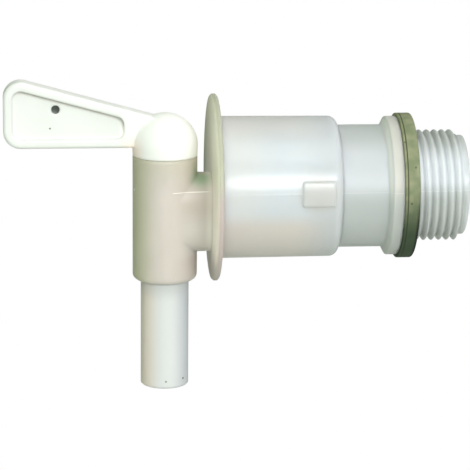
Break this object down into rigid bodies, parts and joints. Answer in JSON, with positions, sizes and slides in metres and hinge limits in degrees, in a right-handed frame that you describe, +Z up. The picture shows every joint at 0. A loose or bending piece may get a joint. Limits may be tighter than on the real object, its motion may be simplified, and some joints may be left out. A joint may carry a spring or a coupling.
{
  "type": "jerrycan tap",
  "caption": "Plastic container tap: threaded sleeve with washer, round flange, upright barrel and a turning plug with a flat handle and a spout.",
  "frame": {"origin": "on the thread's axis, in the plane of the washer's outer sealing face", "axes": "+X along the thread's axis into the container, +Z up along the barrel, -Y towards the side with the marked face of the handle"},
  "size_m": [0.109, 0.0444, 0.074],
  "materials": {
    "natural_plastic": "satin, slightly translucent",
    "sleeve_plastic": "satin, milky translucent",
    "white_plastic": "smooth semi-gloss",
    "washer_rubber": "matt"
  },
  "bodies": {
    "body": {"tap_body": "natural_plastic", "threaded_sleeve": "sleeve_plastic", "sealing_washer": "washer_rubber"},
    "plug": {"plug": "white_plastic"}
  },
  "joints": [
    {"name": "plug_turn", "type": "hinge", "parent": "body", "child": "plug", "pos_m": [-0.05844, 0, 0], "axis": [0, 0, 1], "range_deg": [-90, 90]}
  ]
}
